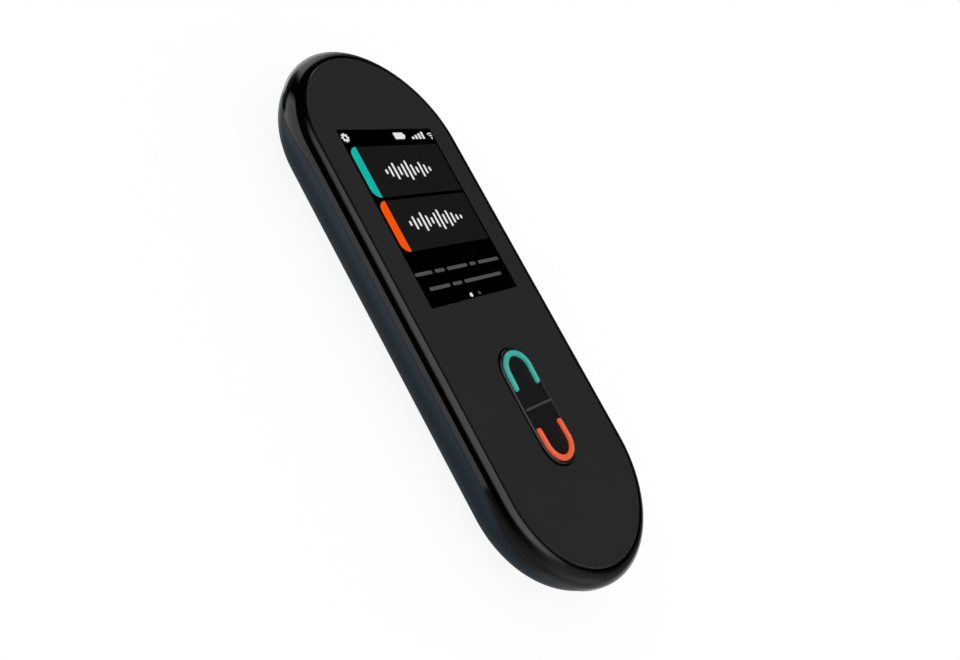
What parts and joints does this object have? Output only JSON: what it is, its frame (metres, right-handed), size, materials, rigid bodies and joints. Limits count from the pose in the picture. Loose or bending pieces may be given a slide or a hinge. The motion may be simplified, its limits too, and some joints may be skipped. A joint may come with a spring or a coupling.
{
  "type": "handheld voice translator",
  "caption": "Slim round-ended handheld voice translator with a glass front, colour display, two-way rocker key with teal and orange light bows, side keys and charging port.",
  "frame": {"origin": "middle of the flat back, on the surface the device lies on", "axes": "+Z out of the glass front, +Y along the length towards the display end, +X across the width towards the side keys"},
  "size_m": [0.0492, 0.129, 0.014],
  "materials": {
    "gloss_black_plastic": "moulded black plastic, high gloss",
    "blue_grey_paint": "satin blue-grey paint",
    "printed_glass": "black-printed cover glass, satin",
    "lcd_glass": "dark display panel",
    "backlight_white": "white backlight plastic",
    "key_plastic": "black key, satin",
    "rib_plastic": "grey tactile bar",
    "teal_guide": "teal light guide",
    "orange_guide": "orange light guide",
    "steel": "plain steel",
    "board": "circuit board, green resist",
    "flex": "flat cable film",
    "chip": "chip moulding",
    "gold": "gold-plated spring metal",
    "led": "small LED body",
    "alloy": "cast alloy chassis",
    "rubber": "soft black rubber or foam",
    "socket": "pale connector plastic",
    "pouch": "battery pouch foil",
    "tape": "white adhesive tape",
    "wire": "red lead insulation",
    "cone": "speaker cone",
    "mesh": "woven dust mesh"
  },
  "bodies": {
    "housing": {"front_frame": "gloss_black_plastic", "back_shell": "blue_grey_paint", "glass_tape": "rubber", "cover_glass": "printed_glass", "display_panel": "lcd_glass", "backlight": "backlight_white", "display_tray": "steel", "display_flex": "flex", "key_pin": "steel", "key_board": "board", "key_domes": "gold", "teal_led": "led", "orange_led": "led", "key_flex": "flex", "chassis": "alloy", "main_board": "board", "processor": "chip", "memory_chip": "chip", "power_chip": "chip", "processor_shield": "steel", "radio_shield": "steel", "display_socket": "socket", "battery": "pouch", "battery_tape": "tape", "battery_lead": "wire", "battery_plug": "socket", "speaker_frame": "chip", "speaker_cone": "cone", "speaker_magnet": "steel", "speaker_gasket": "rubber", "speaker_mesh": "mesh", "usb_shell": "steel", "usb_tongue": "chip", "usb_board": "board", "usb_flex": "flex", "lower_microphone": "steel", "lower_mic_boot": "rubber", "upper_microphone": "steel", "upper_mic_boot": "rubber", "volume_pin": "steel", "side_bracket": "steel", "side_flex": "flex", "side_domes": "gold", "wifi_antenna": "flex", "housing_screws": "steel", "board_screws": "steel"},
    "rocker": {"rocker_key": "key_plastic", "divider_rib": "rib_plastic", "teal_light_guide": "teal_guide", "orange_light_guide": "orange_guide"},
    "power_button": {"power_key": "blue_grey_paint"},
    "volume_rocker": {"volume_key": "blue_grey_paint"}
  },
  "joints": [
    {"name": "rocker_tilt", "type": "hinge", "parent": "housing", "child": "rocker", "pos_m": [0, -0.026, 0.0099], "axis": [1, 0, 0], "range_deg": [-1.5, 1.5], "stiffness_Nm_per_rad": 0.5},
    {"name": "power_press", "type": "slide", "parent": "housing", "child": "power_button", "axis": [-1, 0, 0], "range_m": [0, 0.0003], "stiffness_N_per_m": 4000},
    {"name": "volume_tilt", "type": "hinge", "parent": "housing", "child": "volume_rocker", "pos_m": [0.02085, 0.011, 0.0076], "axis": [0, 0, 1], "range_deg": [-1.5, 1.5], "stiffness_Nm_per_rad": 0.25}
  ]
}
